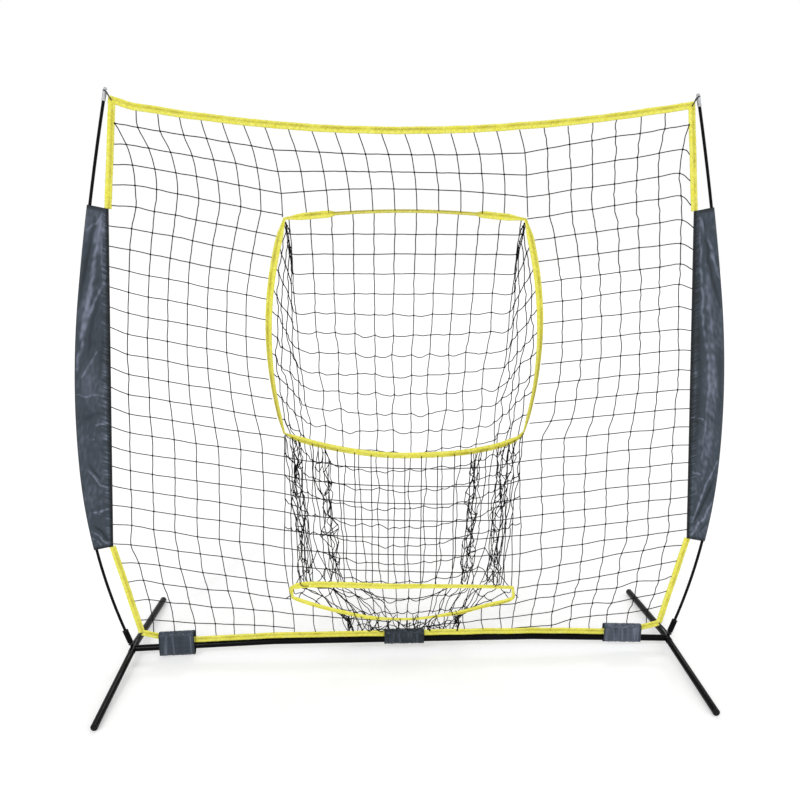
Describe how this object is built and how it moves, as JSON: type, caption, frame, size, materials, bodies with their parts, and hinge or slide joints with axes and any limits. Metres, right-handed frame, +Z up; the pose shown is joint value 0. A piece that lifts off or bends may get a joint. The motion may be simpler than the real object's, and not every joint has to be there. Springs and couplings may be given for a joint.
{
  "type": "pitching target net",
  "caption": "Bow-frame pitching net: two bent poles in a tube base pull a square-mesh net taut; a taped target opening leads to a catch pocket with a return slot.",
  "frame": {"origin": "on the floor, under the middle of the crossbar", "axes": "+X to the right-hand side seen from the pitcher, +Y away from the pitcher, +Z up"},
  "size_m": [2.46, 0.9473, 2.1491],
  "materials": {
    "black_steel": "gloss",
    "black_plastic": "matte",
    "black_fibreglass": "satin",
    "plain_steel": "turned",
    "elastic": "braided",
    "yellow_webbing": "woven",
    "black_netting": "knotted twine",
    "grey_oxford": "coated weave"
  },
  "bodies": {
    "frame_and_net": {"centre_bar_sleeve": "grey_oxford", "foot_tape": "yellow_webbing", "front_net": "black_netting", "left_bar_sleeve": "grey_oxford", "left_crossbar": "black_steel", "left_crossbar_stub": "black_steel", "left_foot_elastic": "elastic", "left_lower_joint_sleeve": "plain_steel", "left_lower_pole": "black_fibreglass", "left_lower_tape": "yellow_webbing", "left_middle_pole": "black_fibreglass", "left_pole_socket": "black_steel", "left_pole_tip": "plain_steel", "left_rear_cap": "black_plastic", "left_rear_leg": "black_steel", "left_side_sleeve": "grey_oxford", "left_socket_bush": "black_plastic", "left_top_elastic": "elastic", "left_upper_joint_sleeve": "plain_steel", "left_upper_pole": "black_fibreglass", "left_upper_tape": "yellow_webbing", "pocket_net": "black_netting", "return_slot_tape": "yellow_webbing", "right_bar_sleeve": "grey_oxford", "right_crossbar": "black_steel", "right_crossbar_stub": "black_steel", "right_foot_elastic": "elastic", "right_lower_joint_sleeve": "plain_steel", "right_lower_pole": "black_fibreglass", "right_lower_tape": "yellow_webbing", "right_middle_pole": "black_fibreglass", "right_pole_socket": "black_steel", "right_pole_tip": "plain_steel", "right_rear_cap": "black_plastic", "right_rear_leg": "black_steel", "right_side_sleeve": "grey_oxford", "right_socket_bush": "black_plastic", "right_top_elastic": "elastic", "right_upper_joint_sleeve": "plain_steel", "right_upper_pole": "black_fibreglass", "right_upper_tape": "yellow_webbing", "target_tape": "yellow_webbing", "top_tape": "yellow_webbing"},
    "right_front_leg_body": {"right_front_leg": "black_steel", "right_front_cap": "black_plastic"},
    "left_front_leg_body": {"left_front_leg": "black_steel", "left_front_cap": "black_plastic"}
  },
  "joints": [
    {"name": "right_front_leg_pull", "type": "slide", "parent": "frame_and_net", "child": "right_front_leg_body", "axis": [0, -0.9983, -0.0576], "range_m": [0, 0.06]},
    {"name": "left_front_leg_pull", "type": "slide", "parent": "frame_and_net", "child": "left_front_leg_body", "axis": [0, -0.9983, -0.0576], "range_m": [0, 0.06]}
  ]
}
